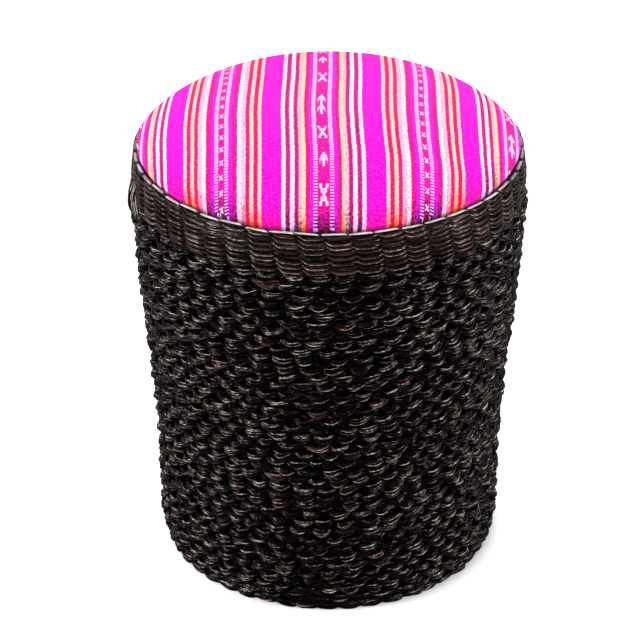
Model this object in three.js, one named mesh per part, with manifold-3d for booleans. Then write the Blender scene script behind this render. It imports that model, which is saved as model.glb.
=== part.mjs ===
// A round drum stool of woven fibre, 459 mm high, with an upholstered domed seat.
// A cane frame of three rings and eight uprights stands inside a wall of twined cord.
// Above the weave the ends of the stakes are plaited into a flat border, and the seat
// drops inside it: a plywood board with a foam pad and a striped cover stapled under it.
// Millimetres, +Z up, the floor at z = 0 and the drum's axis on the Z axis.
import * as THREE from "three";
import { mergeVertices } from "three/addons/utils/BufferGeometryUtils.js";
import Module from "manifold-3d";

const wasm = await Module();
wasm.setup();

// Driving sizes of the whole stool
const deckHeight = 369; // floor to the top of the weave, where the seat rests
const drumRadius = 181.4; // widest radius of the woven wall, at its shoulder
const touchGap = 0.3; // left between pieces that touch
const cutOverrun = 2; // how far a cutting tool runs past the face it leaves by
const mergeTolerance = 0.003; // corners nearer than this are one corner

// Woven wall: height shares of the weave, and radius shares of the drum
const wallThickness = 13; // stakes with a cord on each side
const wallShares = [
  [0, 0.85],
  [0.01, 0.868],
  [0.03, 0.885],
  [0.085, 0.899],
  [0.22, 0.899],
  [0.385, 0.909],
  [0.55, 0.9355],
  [0.715, 0.967],
  [0.88, 0.988],
  [0.955, 1],
  [1, 0.994],
];

// Plaited border
const borderHeight = 35.7;
const borderThickness = 5.5;
const borderLean = 2.3; // how far the top edge stands in from the lower edge
const borderInset = 1.2; // lower edge, in from the face of the weave
const borderRound = 1.6; // softened upper edges
const borderUprightShare = 0.33; // lower part of the border, which doesn't lean
const stakeCount = 48; // stakes round the wall, one column of the border each

// Cane frame
const ringCaneRadius = 9; // base and top rings
const midRingHeight = 200;
const uprightRadius = 7;
const uprightCount = 8;
const braceRadius = 7;
const braceOverhang = 4; // upper brace, past the middle of the ring it lies on
const caneSides = 8;

// Nails, all of one kind
const nailRadius = 1.6;
const nailPoint = 2.4; // length of the pointed end
const nailHeadRadius = 2.3;
const nailHeadThickness = 1;
const nailSides = 6;
const nailSink = 0.6; // head below the cane's surface
const uprightNailBite = 9; // depth of a ring's nail in the upright
const braceNailBite = 18; // depth of a ring's nail in the end of the lower brace
const crossNailBite = 11; // depth of an upper brace's nail in what is under it

// Seat board and its screws
const boardThickness = 12;
const screwCount = 4;
const screwRadius = 2;
const screwHeadRadius = 4;
const screwHeadThickness = 2.4;
const screwSink = 1; // head above the underside of the ring
const screwBite = 9; // depth in the board
const screwSides = 8;
const driveRadius = 1.5; // hexagonal drive in the head
const driveDepth = 1.4;
const driveSides = 6;

// Cushion: a foam pad in a stapled cover
const coverThickness = 1.5;
const coverFlap = 33; // width turned in under the board
const coverEdgeRound = 2; // where the cover turns under the board
const sideStand = 4.4; // straight side of the cushion above the border
const crownRise = 49.6; // middle of the dome above its side
const domePower = 3; // 2 is a paraboloid, and more is a fuller shoulder
const domeShares = [1, 0.975, 0.92, 0.83, 0.7, 0.52, 0.28];

// Staples
const stapleCount = 8;
const stapleWire = 1.2;
const stapleCrown = 11;
const stapleLeg = 8; // reach above the crown

// Heights and radii that follow
const baseRingHeight = ringCaneRadius;
const topRingHeight = deckHeight - ringCaneRadius;
const flapHeight = deckHeight + touchGap;
const boardHeight = flapHeight + coverThickness + touchGap;
const borderTop = flapHeight + borderHeight;
const domeHeight = borderTop + sideStand;

// Outer radius of the woven wall at a height, along straight lines between its shares.
function wallRadiusAt(height) {
  const share = height / deckHeight;
  const after = Math.max(1, wallShares.findIndex(([level]) => level >= share));
  const [low, lowRadius] = wallShares[after - 1];
  const [high, highRadius] = wallShares[after];
  const part = (share - low) / (high - low);
  return drumRadius * THREE.MathUtils.lerp(lowRadius, highRadius, part);
}

const innerRadiusAt = (height) => wallRadiusAt(height) - wallThickness;
const baseRingRadius = innerRadiusAt(baseRingHeight) - touchGap - ringCaneRadius;
const topRingRadius = innerRadiusAt(topRingHeight) - touchGap - ringCaneRadius;
const besideRing = ringCaneRadius + touchGap + uprightRadius;

// Distance of an upright's middle from the drum's axis, at a height.
function uprightRadiusAt(height) {
  const part = (height - baseRingHeight) / (topRingHeight - baseRingHeight);
  return THREE.MathUtils.lerp(baseRingRadius, topRingRadius, part) - besideRing;
}

// The middle ring fills the space between the uprights and the weave.
const midSpaceInside = uprightRadiusAt(midRingHeight) + uprightRadius + touchGap;
const midSpaceOutside = innerRadiusAt(midRingHeight) - touchGap;
const midRingRadius = (midSpaceInside + midSpaceOutside) / 2;
const midCaneRadius = (midSpaceOutside - midSpaceInside) / 2;

const borderFootRadius = wallRadiusAt(deckHeight) - borderInset;
const borderInnerRadius = borderFootRadius - borderLean - borderThickness;
const coverRadius = borderInnerRadius - touchGap;
const boardRadius = coverRadius - coverThickness - touchGap;
const flapRadius = coverRadius - coverFlap;
const stapleRadius = (flapRadius + topRingRadius - ringCaneRadius) / 2;

// Angles round the drum
const turn = Math.PI * 2;
const spread = (count, first = 0) => Array.from({ length: count }, (_, i) => first + (turn * i) / count);
const uprightAngles = spread(uprightCount, turn / uprightCount / 2);
const stapleAngles = spread(stapleCount);
const screwAngles = spread(screwCount);

// Middle of a facet, as a share of its corners' radius
const flatShare = Math.cos(turn / stakeCount / 2);
const caneFlatShare = Math.cos(turn / caneSides / 2);

// Colours
function paint(color, roughness, metalness = 0) {
  return new THREE.MeshStandardMaterial({ color, roughness, metalness });
}

const materials = {
  weave: paint(0x2a1d19, 0.45),
  border: paint(0x33251f, 0.42),
  cane: paint(0xb98c55, 0.55),
  plywood: paint(0xc9a06c, 0.7),
  foam: paint(0xe9dfb8, 0.95),
  cover: paint(0xe015b4, 0.9),
  steel: paint(0x9a9a98, 0.35, 1),
};

// Solids and cuts

// A geometry as a solid, with shared corners merged and collapsed triangles dropped.
function solidOf(geometry) {
  const plain = geometry.clone();
  plain.deleteAttribute("normal");
  plain.deleteAttribute("uv");
  const merged = mergeVertices(plain, mergeTolerance);
  const index = merged.index.array;
  const kept = [];
  for (let i = 0; i < index.length; i += 3) {
    const [a, b, c] = [index[i], index[i + 1], index[i + 2]];
    if (a !== b && b !== c && c !== a) kept.push(a, b, c);
  }
  const vertProperties = merged.attributes.position.array;
  return new wasm.Manifold(new wasm.Mesh({ numProp: 3, vertProperties, triVerts: new Uint32Array(kept) }));
}

function geometryOf(solid) {
  const { vertProperties, triVerts } = solid.getMesh();
  const geometry = new THREE.BufferGeometry();
  geometry.setAttribute("position", new THREE.BufferAttribute(new Float32Array(vertProperties), 3));
  geometry.setIndex(new THREE.BufferAttribute(new Uint32Array(triVerts), 1));
  geometry.computeVertexNormals();
  return geometry;
}

function cut(geometry, tools) {
  return geometryOf(tools.reduce((solid, tool) => solid.subtract(solidOf(tool)), solidOf(geometry)));
}

// A turned piece about the Z axis, from its profile of radius and height.
function turned(profile, sides) {
  const points = profile.map(([radius, height]) => new THREE.Vector2(radius, height));
  return new THREE.LatheGeometry(points, sides).rotateX(Math.PI / 2).rotateZ(Math.PI / 2);
}

// A round rod from z = 0 up to its length, with a corner of its section on +X.
function rod(radius, length, sides) {
  const geometry = new THREE.CylinderGeometry(radius, radius, length, sides);
  return geometry.rotateX(Math.PI / 2).rotateZ(Math.PI / 2).translate(0, 0, length / 2);
}

// Lays a piece that stands on z = 0 along a line that runs in from a radius to the axis.
function pointInward(geometry, radius, angle, height) {
  return geometry.rotateY(-Math.PI / 2).translate(radius, 0, height).rotateZ(angle);
}

// Stands a piece at a radius and an angle.
function standAt(geometry, radius, angle, height) {
  return geometry.translate(radius, 0, height).rotateZ(angle);
}

const stool = new THREE.Group();

function add(name, geometry, material) {
  const mesh = new THREE.Mesh(geometry, material);
  mesh.name = name;
  stool.add(mesh);
}

// Nails: the head is at z = 0 and the point is up, at the nail's length.
function nail(length) {
  return turned(
    [
      [0, 0],
      [nailHeadRadius, 0],
      [nailHeadRadius, nailHeadThickness],
      [nailRadius, nailHeadThickness],
      [nailRadius, length - nailPoint],
      [0, length],
    ],
    nailSides,
  );
}

// The hole for a nail, which starts outside the wood.
function nailHole(length) {
  const sunk = nailHeadThickness + touchGap;
  return turned(
    [
      [0, -nailSink - cutOverrun],
      [nailHeadRadius + touchGap, -nailSink - cutOverrun],
      [nailHeadRadius + touchGap, sunk],
      [nailRadius + touchGap, sunk],
      [nailRadius + touchGap, length + touchGap],
      [0, length + touchGap],
    ],
    nailSides,
  );
}

// Each nail is a name and a way to place its solid or its hole.
const upperBraceHeight = baseRingHeight + ringCaneRadius + touchGap + braceRadius;
const lowerBraceHeight = upperBraceHeight - touchGap - braceRadius * 2;
const nailThrough = (cane, bite) => cane * 2 - nailSink + touchGap + bite;

function inwardNail(name, ringRadius, caneRadius, bite, angle, height) {
  const length = nailThrough(caneRadius, bite);
  const start = ringRadius + caneRadius - nailSink;
  return { name, place: (make) => pointInward(make(length), start, angle, height) };
}

function downwardNail(name, radius, angle) {
  const length = nailThrough(braceRadius, crossNailBite);
  const start = upperBraceHeight + braceRadius - nailSink;
  return { name, place: (make) => standAt(make(length).rotateX(Math.PI), radius, angle, start) };
}

const ringNails = (name, radius, caneRadius, height) =>
  uprightAngles.map((angle, i) =>
    inwardNail(`${name}_nail_${i + 1}`, radius, caneRadius, uprightNailBite, angle, height),
  );
const baseNails = ringNails("base_ring", baseRingRadius, ringCaneRadius, baseRingHeight);
const midNails = ringNails("middle_ring", midRingRadius, midCaneRadius, midRingHeight);
const topNails = ringNails("top_ring", topRingRadius, ringCaneRadius, topRingHeight);
const lowerBraceNails = spread(2).map((angle, i) => {
  const name = `lower_brace_nail_${i + 1}`;
  return inwardNail(name, baseRingRadius, ringCaneRadius, braceNailBite, angle, lowerBraceHeight);
});
const upperBraceNails = spread(2, turn / 4).map((angle, i) =>
  downwardNail(`upper_brace_nail_${i + 1}`, baseRingRadius, angle),
);
const crossingNail = downwardNail("brace_crossing_nail", 0, 0);
const holes = (nails) => nails.map(({ place }) => place(nailHole));

const frameNails = [...baseNails, ...midNails, ...topNails];
const braceNails = [...lowerBraceNails, ...upperBraceNails, crossingNail];
[...frameNails, ...braceNails].forEach(({ name, place }) => add(name, place(nail), materials.steel));

// Seat screws: the head is at z = 0, and the screw stands up through the ring into the board.
const screwFoot = topRingHeight - ringCaneRadius + screwSink;
const screwLength = boardHeight + screwBite - screwFoot;

function seatScrew() {
  const shape = turned(
    [
      [0, 0],
      [screwHeadRadius, 0],
      [screwHeadRadius, screwHeadThickness],
      [screwRadius, screwHeadThickness],
      [screwRadius, screwLength - screwRadius],
      [0, screwLength],
    ],
    screwSides,
  );
  const drive = rod(driveRadius, driveDepth + cutOverrun, driveSides).translate(0, 0, -cutOverrun);
  return cut(shape, [drive]);
}

function screwHole() {
  const shoulder = screwHeadThickness + touchGap;
  return turned(
    [
      [0, -screwSink - cutOverrun],
      [screwHeadRadius + touchGap, -screwSink - cutOverrun],
      [screwHeadRadius + touchGap, shoulder],
      [screwRadius + touchGap, shoulder],
      [screwRadius + touchGap, screwLength + touchGap],
      [0, screwLength + touchGap],
    ],
    screwSides,
  );
}

const screwHoles = screwAngles.map((angle) => standAt(screwHole(), topRingRadius, angle, screwFoot));
screwAngles.forEach((angle, i) => {
  add(`seat_screw_${i + 1}`, standAt(seatScrew(), topRingRadius, angle, screwFoot), materials.steel);
});

// Cane rings, with flats below, above, inside and outside
function ring(name, radius, height, caneRadius, cuts) {
  const corner = caneRadius / caneFlatShare;
  const angles = [...spread(caneSides, turn / caneSides / 2), turn / caneSides / 2];
  const profile = angles.map((angle) => {
    return [radius + corner * Math.cos(angle), height + corner * Math.sin(angle)];
  });
  add(name, cut(turned(profile, stakeCount), cuts), materials.cane);
}

const baseRingCuts = holes([...baseNails, ...lowerBraceNails, ...upperBraceNails]);
ring("base_ring", baseRingRadius, baseRingHeight, ringCaneRadius, baseRingCuts);
ring("middle_ring", midRingRadius, midRingHeight, midCaneRadius, holes(midNails));
ring("top_ring", topRingRadius, topRingHeight, ringCaneRadius, [...holes(topNails), ...screwHoles]);

// Uprights lean out with the wall, and their ends are sawn level.
function upright(angle) {
  const foot = uprightRadiusAt(0);
  const lean = (uprightRadiusAt(deckHeight) - foot) / deckHeight;
  const shear = new THREE.Matrix4().makeShear(0, 0, 0, 0, lean, 0);
  return standAt(rod(uprightRadius, deckHeight, caneSides).applyMatrix4(shear), foot, angle, 0);
}

uprightAngles.forEach((angle, i) => {
  const cuts = holes([baseNails[i], midNails[i], topNails[i]]);
  add(`upright_${i + 1}`, cut(upright(angle), cuts), materials.cane);
});

// Base braces: the lower one butts on the ring, and the upper one lies over both.
function brace(name, reach, angle, height, nails) {
  const pole = pointInward(rod(braceRadius, reach * 2, caneSides), reach, angle, height);
  add(name, cut(pole, holes([...nails, crossingNail])), materials.cane);
}

const lowerReach = (baseRingRadius - ringCaneRadius) * flatShare - touchGap;
brace("lower_brace", lowerReach, 0, lowerBraceHeight, lowerBraceNails);
brace("upper_brace", baseRingRadius + braceOverhang, turn / 4, upperBraceHeight, upperBraceNails);

// Woven wall: twined cord on its stakes, as one shell, open below and at the top
function wovenWall() {
  const outside = wallShares.map(([level, radius]) => [radius * drumRadius, level * deckHeight]);
  const inside = outside
    .filter(([, height]) => height > baseRingHeight)
    .map(([radius, height]) => [radius - wallThickness, height])
    .reverse();
  const lip = innerRadiusAt(baseRingHeight);
  return turned([...outside, ...inside, [lip, baseRingHeight], [lip, 0], outside[0]], stakeCount);
}

add("woven_wall", wovenWall(), materials.weave);

// Plaited border: a flat band that stands on the weave
function plaitedBorder() {
  const topRadius = borderFootRadius - borderLean;
  return turned(
    [
      [borderInnerRadius, flapHeight],
      [borderFootRadius, flapHeight],
      [borderFootRadius, flapHeight + borderHeight * borderUprightShare],
      [topRadius, borderTop - borderRound],
      [topRadius - borderRound, borderTop],
      [borderInnerRadius + borderRound, borderTop],
      [borderInnerRadius, borderTop - borderRound],
      [borderInnerRadius, flapHeight],
    ],
    stakeCount,
  );
}

add("plaited_border", plaitedBorder(), materials.border);

// Staples, with the crown under the flap and the legs up in the board
function staple(slack) {
  const wire = stapleWire + slack * 2;
  const crown = new THREE.BoxGeometry(wire, stapleCrown + slack * 2, wire);
  const legs = [-1, 1].map((side) => {
    const leg = new THREE.BoxGeometry(wire, wire, stapleWire + stapleLeg + slack * 2);
    return leg.translate(0, (side * (stapleCrown - stapleWire)) / 2, stapleLeg / 2);
  });
  return geometryOf(legs.reduce((solid, leg) => solid.add(solidOf(leg)), solidOf(crown)));
}

const stapleHeight = flapHeight - touchGap - stapleWire / 2;
const placedStaples = (slack) =>
  stapleAngles.map((angle) => standAt(staple(slack), stapleRadius, angle, stapleHeight));
const stapleSlots = placedStaples(touchGap);
placedStaples(0).forEach((shape, i) => add(`cover_staple_${i + 1}`, shape, materials.steel));

// Seat board
const board = rod(boardRadius, boardThickness, stakeCount).translate(0, 0, boardHeight);
add("seat_board", cut(board, [...screwHoles, ...stapleSlots]), materials.plywood);

// The cushion's side and dome, in from its outside by an inset, from its side to its crown.
function domeProfile(inset) {
  const radius = coverRadius - inset;
  const base = domeHeight - inset;
  const dome = domeShares.map((share) => [radius * share, base + crownRise * (1 - share ** domePower)]);
  return [...dome, [0, base + crownRise]];
}

function foamPad() {
  const inset = coverThickness + touchGap;
  const bottom = boardHeight + boardThickness + touchGap;
  return turned([[0, bottom], [coverRadius - inset, bottom], ...domeProfile(inset)], stakeCount);
}

function seatCover() {
  const lining = domeProfile(coverThickness).reverse();
  return turned(
    [
      ...lining,
      [coverRadius - coverThickness, flapHeight + coverThickness],
      [flapRadius, flapHeight + coverThickness],
      [flapRadius, flapHeight],
      [coverRadius - coverEdgeRound, flapHeight],
      [coverRadius, flapHeight + coverEdgeRound],
      ...domeProfile(0),
    ],
    stakeCount,
  );
}

add("foam_pad", foamPad(), materials.foam);
add("seat_cover", cut(seatCover(), [...screwHoles, ...stapleSlots]), materials.cover);

export default stool;
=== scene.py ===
"""Woven drum stool with a domed, striped cushion: the finish of every piece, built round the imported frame."""
import math

import bmesh
import bpy
import numpy as np
from mathutils import Matrix, Vector


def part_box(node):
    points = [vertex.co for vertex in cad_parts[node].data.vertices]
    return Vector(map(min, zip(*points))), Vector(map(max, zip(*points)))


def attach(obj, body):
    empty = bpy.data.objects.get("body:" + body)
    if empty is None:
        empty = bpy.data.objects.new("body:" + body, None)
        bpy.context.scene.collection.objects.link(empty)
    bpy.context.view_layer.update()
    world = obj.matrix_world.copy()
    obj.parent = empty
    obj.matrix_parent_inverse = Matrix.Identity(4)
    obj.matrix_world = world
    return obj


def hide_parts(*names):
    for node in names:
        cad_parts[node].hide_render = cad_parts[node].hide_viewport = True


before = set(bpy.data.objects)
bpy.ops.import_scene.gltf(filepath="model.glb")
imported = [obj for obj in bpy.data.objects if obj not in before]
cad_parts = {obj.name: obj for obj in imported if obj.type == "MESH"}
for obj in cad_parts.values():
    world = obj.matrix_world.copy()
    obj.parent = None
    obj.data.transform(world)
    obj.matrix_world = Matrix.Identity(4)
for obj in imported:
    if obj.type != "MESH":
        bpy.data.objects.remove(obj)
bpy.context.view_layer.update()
scene = bpy.context.scene

MM = 0.001
TURN = 2 * math.pi

# Seeds of the random draws, and steps of the shapes spun round the drum's axis
WALL_SEED = 48
BORDER_SEED = 24
END_SEED = 7
COVER_STEPS = 160
PLAIN_STEPS = 96


def screen_colour(red, green, blue):
    """A colour written as on screen, 0 to 255, in the shader's own terms."""
    def linear(value):
        share = value / 255
        return share / 12.92 if share <= 0.04045 else ((share + 0.055) / 1.055) ** 2.4
    return (linear(red), linear(green), linear(blue), 1)


# Camera, in the photograph's frame
CAMERA_DISTANCE = 2478 * MM
CAMERA_ELEVATION = 0.52716
AIM_HEIGHT = 202.8 * MM
LENS = 147.63
SENSOR = 36
SHIFT_ACROSS = -0.0136
SHIFT_UP = 0.0259

# Studio: the floor glows white to the camera, but not round the stool's foot, where it keeps the shadow
FILL_LIGHT = 0.3
FLOOR_REACH = 6
FLOOR_COLOUR = screen_colour(235, 235, 235)
FLOOR_MIRRORED = screen_colour(24, 24, 24)
FLOOR_GLOW = 0.85
GLOW_START = 138 * MM
GLOW_FULL = 180 * MM
SHADE_MIDDLE = (7 * MM, 0, 0)
LIGHT_AIM = Vector((0, 0, 0.25))

# Softboxes: place, width and depth in metres, and power in watts
SOFTBOXES = {
    "overhead": ((0, 0.1, 2.35), 1.5, 0.5, 22),
    "front": ((0, -2.1, 1.1), 2.2, 0.4, 5),
    "back": ((0, 2.6, 1.95), 1.1, 1.1, 25),
    "left": ((-2.1, -0.8, 0.95), 0.4, 1.1, 39),
    "right": ((2.1, -0.7, 0.9), 0.4, 1.1, 34),
}

# Sizes that the frame gives
_, WALL_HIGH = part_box("woven_wall")
BORDER_LOW, BORDER_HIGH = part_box("plaited_border")
COVER_LOW, COVER_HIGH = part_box("seat_cover")
FOAM_LOW, FOAM_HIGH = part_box("foam_pad")
DRUM_RADIUS = WALL_HIGH.x
WALL_HEIGHT = WALL_HIGH.z
BORDER_RADIUS = BORDER_HIGH.x
BORDER_FOOT = BORDER_LOW.z
BORDER_TOP = BORDER_HIGH.z
CROWN = COVER_HIGH.z

# Woven wall: two wefts twined over pairs of stakes in every row, with each row's lumps half a lump along from
# those of the row below. Each weft is a bundle of leaf strands that fans out over the stakes and draws in
# behind them. A spread is how far a measure strays from its middle value at random.
LUMPS = 48
STAKES = 2 * LUMPS
ROWS = 39
BANDS = 8
STEPS_PER_LUMP = 6
ROW_MARGIN = 5.2 * MM
ROW_SPREAD = 0.5 * MM
ROW_SLIP_SPREAD = 0.11
CALM_HEIGHT = 26 * MM
CALM_LEAST = 0.2
FLOOR_GAP = 0.3 * MM
STAKE_DEPTH = 8 * MM
STAKE_RADIUS = 1.6 * MM
STAKE_TONE = 0.2

# The wall's outline as shares of its height and of the drum's radius
WALL_SHARES = [
    (0, 0.85), (0.01, 0.868), (0.03, 0.885), (0.085, 0.899), (0.22, 0.899), (0.385, 0.909),
    (0.55, 0.9355), (0.715, 0.967), (0.88, 0.988), (0.955, 1), (1, 0.994),
]

# Bundle of a weft
BUNDLE_HEIGHT = 3.8 * MM
BUNDLE_DEPTH = 1.6 * MM
LUMP_HEIGHT = 3.2 * MM
LUMP_DEPTH = 3.6 * MM
SKIN_INSET = 0.7 * MM
SWING_OUT = 3.7 * MM
SWING_IN = 2.6 * MM
WEFT_SLANT = 0.5 * MM
WEFT_DROOP = 2.0 * MM
FAN_LOW = -1.9
FAN_HIGH = 1.7
FAN_TURN = 0.15
FAN_RADIUS = 4.2 * MM
SHIFT_SPREAD = 0.12
FULLNESS_SPREAD = 0.16
REACH_SPREAD = 0.08
TURNING_SPREAD = 0.25
WEFT_TONE_SPREAD = 0.19

# Strands of a weft, and the dark core that they lie on, whose darkest tone is painted shade between the
# strands. Each is cut from its own stretch of a long leaf.
LEAF_LENGTH = 9
STRANDS = 7
STRAND_SIDES = 4
STRAND_WIDTH = 2.1 * MM
STRAND_THICKNESS = 1.3 * MM
STRAND_TILT = 0.5
CROSSING_WIDENING = 0.5
SIZE_SPREAD = 0.12
TILT_SPREAD = 0.25
TURN_SPREAD = 0.24
KINK_SPREAD = 0.16
LIFT_SPREAD = 0.45 * MM
# Tone and wear of a strand. The wear is partly real and partly a painted highlight; the lower strands of a weft
# are painted paler and brighter and the upper ones darker, as painted shade from the row above.
STRAND_TONE = 0.3
LOW_STRAND_LIGHTENING = 0.12
TONE_SPREAD = 0.1
STRAND_WEAR_AND_HIGHLIGHT = 0.58
LOW_STRAND_HIGHLIGHT = 0.25
WEAR_HIGHLIGHT_SPREAD = 0.42
FACE_WEAR_AND_HIGHLIGHT = 0.35
CORE_RISE = 2.9 * MM
CORE_DEPTH = 1.0 * MM
CORE_TURN = 1.5
CORE_WIDTH = 6 * MM

# Plaited border: columns of flat strips, the bent ends of the stakes, and a rim strip on top of each
COLUMNS = 48
STRIPS = 8
COLUMN_LENGTH = TURN * BORDER_RADIUS / COLUMNS
COLUMN_SLANT = 6.5 * MM
COLUMN_TONES = (0.02, 0.1, 0.15, 0.4, 0.55, 0.65, 0.75, 0.9)
BORDER_LEAN = 2.3 * MM
LEAN_START = 0.33
STRIP_FOOT = BORDER_FOOT - 2.8 * MM
STRIP_THICKNESS = 2.4 * MM
STRIP_FILL = 0.6
STRIP_ROUNDNESS = 0.6
STRIP_OVERLAP = 6 * MM
STRIP_RISE = 1.6 * MM
STRIP_BULGE = 0.8 * MM
NOSE_SHARE = 0.3
NOSE_RISE = 2.7 * MM
NOSE_TUCK = 2.0 * MM
TAIL_SHARE = 0.3
TAIL_TUCK = 3.0 * MM
RIM_WIDTH = 3.6 * MM
RIM_THICKNESS = 1.5 * MM
RIM_OVERLAP = 0.35 * STRIP_OVERLAP
RIM_BULGE = 0.3 * STRIP_BULGE
RIM_TONE_SHARE = 0.4
RISE_SPREAD = 0.8
SHADE_SPREAD = 0.15
# How far a strip strays: along the border, in its height as a share, up, and out
STRIP_SPREADS = (0.4 * MM, 0.08, 0.22 * MM, 0.2 * MM)
# How far a rim strip strays up, as a whole and towards its end
RIM_SPREADS = (0.45 * MM, 0.5 * MM)
# Wear of a strip and of a rim strip, partly real and partly a painted highlight: middle value and spread
STRIP_WEAR_AND_HIGHLIGHT = (0.75, 0.28)
RIM_WEAR_AND_HIGHLIGHT = (0.95, 0.1)
# Shares of a strip's full thickness and height that its nose starts from, and those that its tail loses
NOSE_THICKNESS = 0.3
NOSE_HEIGHT = 0.12
RIM_NOSE = 0.5
TAIL_THINNING = 0.35
TAIL_NARROWING = 0.2
# Share of its wear and painted highlight that a strip's tucked tail loses
TAIL_WEAR_AND_HIGHLIGHT_LOSS = 0.8

# Dark core behind the border's strips, in the darkest tone as painted shade in the gaps between them
BORDER_CORE_INNER = BORDER_RADIUS - 6.6 * MM
BORDER_CORE_OUTER = BORDER_RADIUS - 3.4 * MM
BORDER_CORE_FOOT = STRIP_FOOT + 1.5 * MM
BORDER_CORE_TOP = BORDER_TOP - 2 * MM

# Ends of the plait, which bulge out where it closes
END_STRIPS = 13
END_TURN = 3.33
END_SPAN = 0.24
END_WAVE = 0.02
END_BULGE = 6.5 * MM
END_INSET = 2.5 * MM
END_WIDTH = 4.2 * MM
END_TOP = BORDER_TOP - 10 * MM
END_FOOT = BORDER_FOOT - 24 * MM

# Cushion
COVER_FULLNESS = 2.6 * MM
COVER_RADIUS = COVER_HIGH.x + COVER_FULLNESS
DOME_POWER = 2.7
SHOULDER = 0.86
DOME_FOOT = BORDER_TOP + 4.4 * MM
FLAP_RADIUS = 138 * MM
FLAP_CORNER = 1.4 * MM
CLOTH_THICKNESS = 1.2 * MM
RIM_GAP = 4 * MM
PAD_CORNER = 2 * MM
PAD_DROP = 3 * MM
SWELL_SINK = 0.015
SWELL_CAP = 5 * MM
SWELL_FRAMES = 20
SWELL_PRESSURE = 4
SWELL_QUALITY = 6

# Striped cloth: the pattern runs from the middle of the figured band to that of the dotted band, then back
HALF_REPEAT = 89.3 * MM
PATTERN_SHIFT = -5.1 * MM
STRIPE_GATHER = 0.3
BOW = 1.1 * MM
BOW_MIDDLE = -25 * MM
BOW_REACH = 70 * MM
JOG = 0.5 * MM
JOG_PITCH = 1.6 * MM
PULL = 1.2 * MM
PULL_NARROWING = 0.013
PULL_START = -70 * MM
PULL_FULL = -115 * MM
FIGURE_WIDTH = 7.1 * MM
MARK_PITCH = 17 * MM
MARK_WIDTH = 3 * MM
MARK_LENGTH = 6 * MM
RUNG_PITCH = 3.1 * MM
RUNGS_THIN = -150 * MM
RUNGS_FULL = -60 * MM
LADDER_MIDDLES = (7.05 * MM, 84.75 * MM)
LADDER_HALF_WIDTH = 1.75 * MM
THREAD_WIDTH = 1.1 * MM
THREAD_LENGTH = 1.4 * MM
# Painted shade at the cushion's foot: heights over the rim where it starts and where it is full, and distances
# across where it starts to fade and where it is down to a fifth
DEEP_HEIGHT = 19 * MM
DEEP_LEAST = 2 * MM
DEEP_REACH = 135 * MM
DEEP_END = 175 * MM
# Size across and along of the cloth's specks, fuzz and lint
SPECK_SIZE = (1.2 * MM, 1.4 * MM)
FUZZ_SIZE = (1.5 * MM, 1.7 * MM)
LINT_SIZE = (0.8 * MM, 1.1 * MM)

# Half a repeat: where each stripe ends, in millimetres from the middle of the figured band, and its thread
STRIPES = [
    (5.2, "deep pink"), (8.7, "ladder"), (11.9, "violet"), (15.1, "rose"), (18.2, "cream"),
    (21.2, "blush"), (24.7, "plum"), (28.5, "white"), (32.1, "plum"), (35.8, "white"),
    (53.3, "magenta"), (56.4, "cream"), (60.1, "rose"), (63.6, "cream"), (67.3, "rose"),
    (71, "pale pink"), (74.8, "white"), (79.3, "hot pink"), (82.9, "violet"), (86.4, "ladder"),
    (89.3, "deep pink"),
]

# Each thread's colour on the dome, and the deeper, warmer colour painted at the cushion's foot as the shade
# there and the light the cloth throws back on itself
THREADS = {
    "deep pink": ((240, 8, 168), (84, 0, 50)),
    "ladder": ((226, 20, 168), (90, 0, 56)),
    "violet": ((238, 20, 236), (158, 0, 176)),
    "rose": ((238, 10, 112), (240, 2, 50)),
    "cream": ((250, 218, 192), (250, 128, 70)),
    "blush": ((244, 196, 198), (120, 84, 84)),
    "plum": ((212, 6, 130), (92, 0, 54)),
    "white": ((252, 232, 248), (248, 196, 232)),
    "magenta": ((247, 2, 220), (246, 0, 170)),
    "pale pink": ((248, 200, 218), (240, 110, 140)),
    "hot pink": ((244, 6, 146), (130, 0, 70)),
}
RUNG_COLOUR = screen_colour(250, 190, 250)
FIGURE_COLOUR = screen_colour(255, 228, 255)
SPECK_SHADE = screen_colour(176, 80, 160)
FUZZ_COLOUR = screen_colour(255, 130, 244)

# Figures along the figured band: middle along the band and length in millimetres, and whether it is an arrow
FIGURES = [
    (118, 22, False), (76, 21, True), (28.6, 20, False), (-19.5, 18.5, True), (-38, 18.5, True),
    (-76.6, 18, False), (-113.5, 17, True), (-153, 22.6, False),
]

# Leaf: shades from the darkest to the palest strand, and what lies over them
LEAF_TONES = [
    (0, screen_colour(1, 0, 0)), (0.5, screen_colour(6, 3, 3)), (0.72, screen_colour(24, 14, 14)),
    (0.84, screen_colour(84, 22, 34)), (1, screen_colour(88, 66, 62)),
]
BORDER_TONES = [
    (0, screen_colour(2, 1, 1)), (0.35, screen_colour(8, 4, 4)), (0.6, screen_colour(28, 16, 14)),
    (0.85, screen_colour(60, 37, 33)), (1, screen_colour(100, 73, 64)),
]
LEAF_SHINE = screen_colour(255, 220, 214)
LEAF_STREAK = screen_colour(110, 80, 76)
LEAF_PATCH = screen_colour(4, 2, 2)
# Pale colours of wear, partly real wear and partly a painted highlight: on the wall, on the border's strips and
# on the rim
WORN_LIT_LEAF = screen_colour(255, 234, 228)
WORN_LIT_STRIP = screen_colour(232, 196, 182)
WORN_LIT_RIM = screen_colour(255, 244, 240)

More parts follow.
